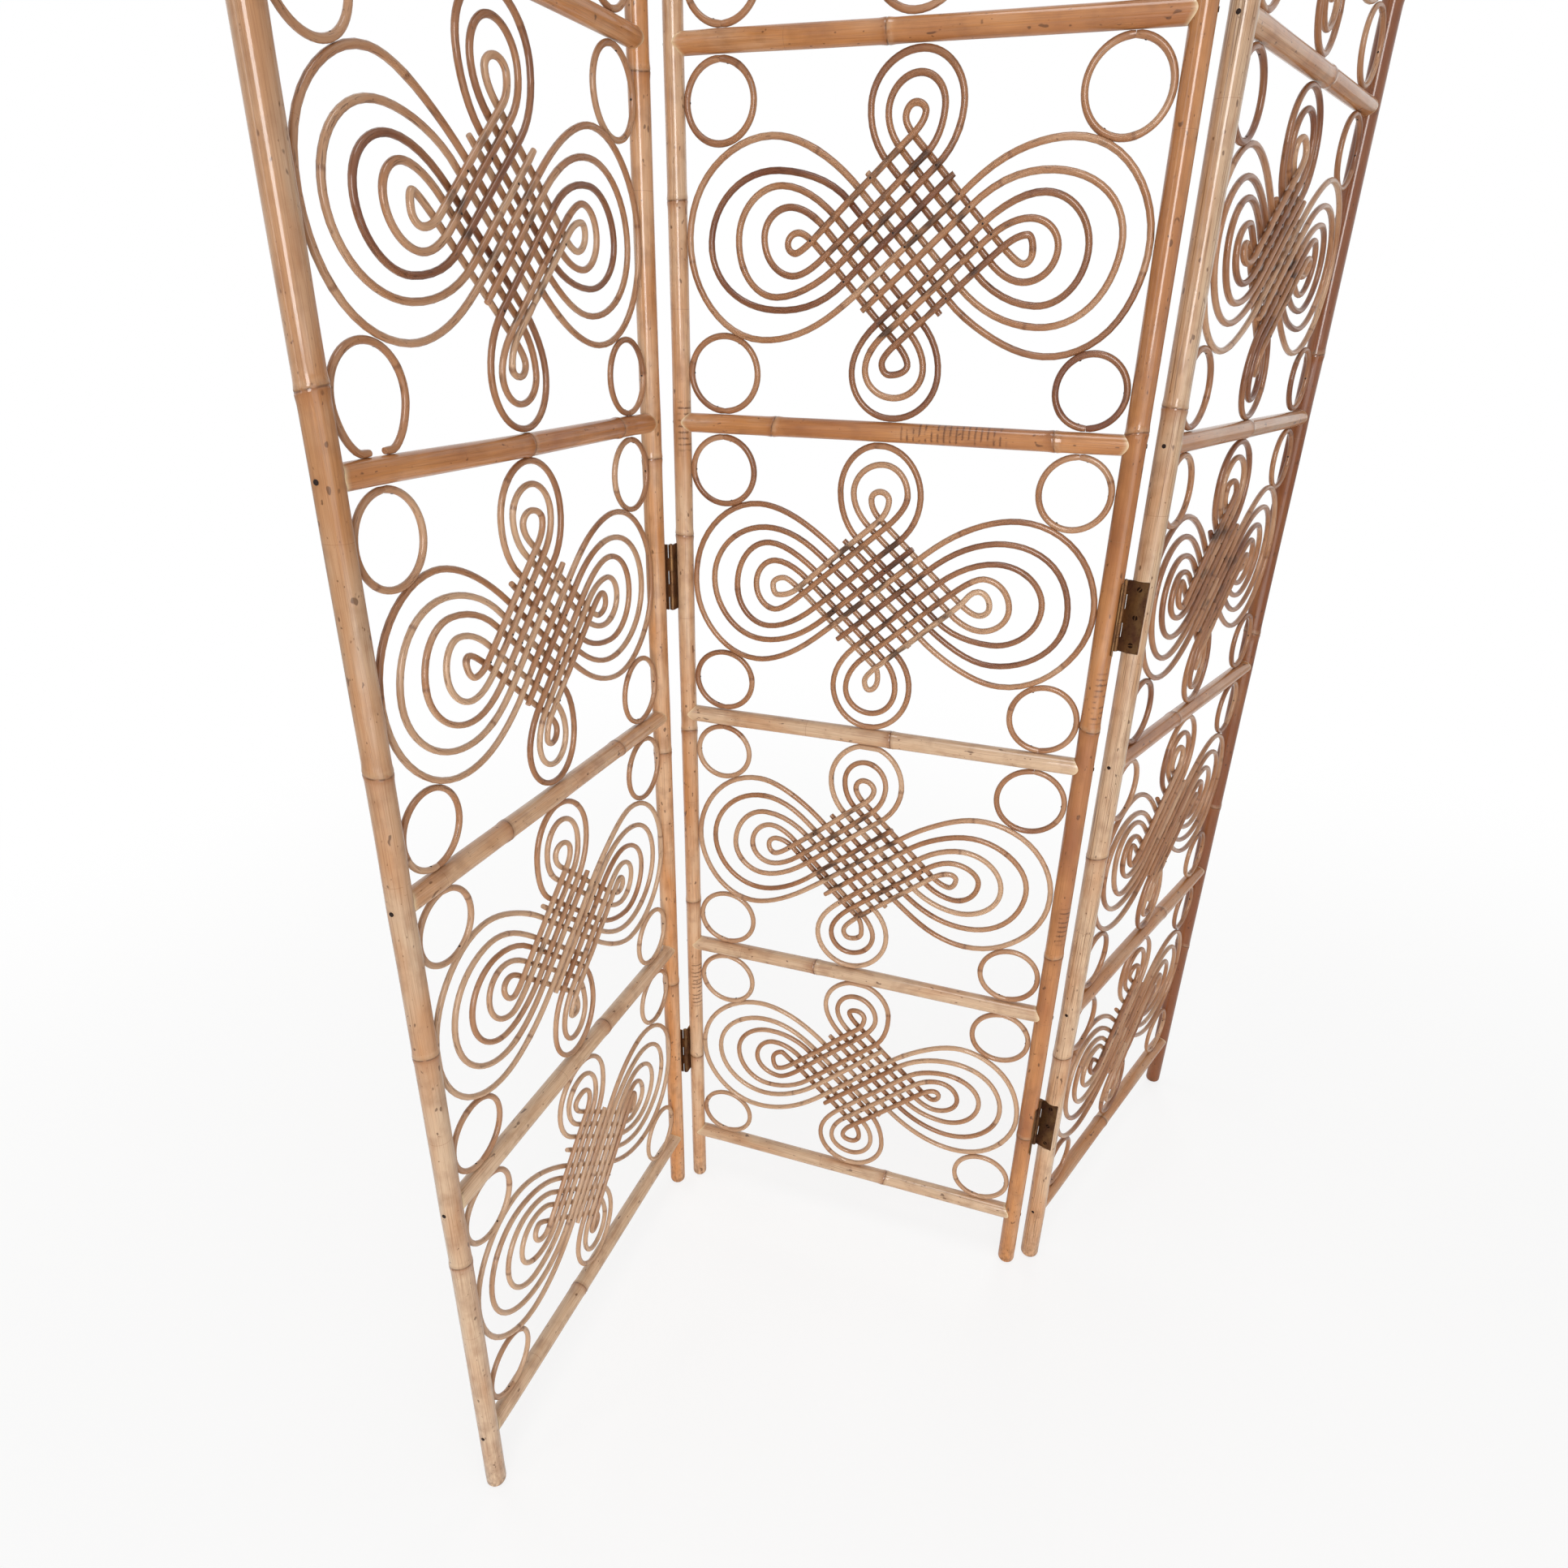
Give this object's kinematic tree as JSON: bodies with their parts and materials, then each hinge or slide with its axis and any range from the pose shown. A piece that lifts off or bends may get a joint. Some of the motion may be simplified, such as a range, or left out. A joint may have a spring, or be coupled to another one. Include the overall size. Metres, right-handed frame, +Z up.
{
  "type": "partition screen",
  "caption": "Free-standing folding screen of rattan poles, its bays filled with interlaced cane knots and corner rings, the panels set in a zig-zag on aged brass butt hinges.",
  "frame": {"origin": "on the floor, at the middle of the screen's footprint as it stands in the zig-zag of the picture", "axes": "+Z up; X along the middle panel, to the right seen from the front; the front of the middle panel faces -Y"},
  "size_m": [0.7359, 0.9886, 1.83],
  "materials": {
    "rattan_posts": "varnished rattan pole, satin to gloss",
    "rattan_rails": "varnished rattan pole, satin to gloss",
    "knot_cane": "bent cane, varnished, with scorch marks",
    "ring_cane": "bent cane, varnished",
    "aged_brass": "aged, darkened brass, rubbed bright on edges",
    "aged_brass_screws": "aged, darkened brass",
    "dark_steel_nails": "dark oxidised steel"
  },
  "bodies": {
    "center_panel": {"center_hinge_screws": "aged_brass_screws", "center_knot_1": "knot_cane", "center_knot_2": "knot_cane", "center_knot_3": "knot_cane", "center_knot_4": "knot_cane", "center_knot_5": "knot_cane", "center_left_hinge_leaves": "aged_brass", "center_left_hinge_pins": "aged_brass", "center_left_post": "rattan_posts", "center_rail_1": "rattan_rails", "center_rail_2": "rattan_rails", "center_rail_3": "rattan_rails", "center_rail_4": "rattan_rails", "center_rail_5": "rattan_rails", "center_rail_6": "rattan_rails", "center_rail_nails": "dark_steel_nails", "center_right_hinge_leaves": "aged_brass", "center_right_post": "rattan_posts", "center_rings": "ring_cane"},
    "left_panel": {"left_hinge_leaves": "aged_brass", "left_hinge_screws": "aged_brass_screws", "left_inner_post": "rattan_posts", "left_knot_1": "knot_cane", "left_knot_2": "knot_cane", "left_knot_3": "knot_cane", "left_knot_4": "knot_cane", "left_knot_5": "knot_cane", "left_outer_post": "rattan_posts", "left_rail_1": "rattan_rails", "left_rail_2": "rattan_rails", "left_rail_3": "rattan_rails", "left_rail_4": "rattan_rails", "left_rail_5": "rattan_rails", "left_rail_6": "rattan_rails", "left_rail_nails": "dark_steel_nails", "left_rings": "ring_cane"},
    "right_panel": {"right_hinge_leaves": "aged_brass", "right_hinge_pins": "aged_brass", "right_hinge_screws": "aged_brass_screws", "right_inner_post": "rattan_posts", "right_knot_1": "knot_cane", "right_knot_2": "knot_cane", "right_knot_3": "knot_cane", "right_knot_4": "knot_cane", "right_knot_5": "knot_cane", "right_outer_post": "rattan_posts", "right_rail_1": "rattan_rails", "right_rail_2": "rattan_rails", "right_rail_3": "rattan_rails", "right_rail_4": "rattan_rails", "right_rail_5": "rattan_rails", "right_rail_6": "rattan_rails", "right_rail_nails": "dark_steel_nails", "right_rings": "ring_cane"}
  },
  "joints": [
    {"name": "left_fold", "type": "hinge", "parent": "center_panel", "child": "left_panel", "pos_m": [-0.32889, 0.0031, 0], "axis": [0, 0, 1], "range_deg": [-88.4, 91.6]},
    {"name": "right_fold", "type": "hinge", "parent": "center_panel", "child": "right_panel", "pos_m": [0.17011, 0.0321, 0], "axis": [0, 0, 1], "range_deg": [-69.3, 110.7]}
  ]
}
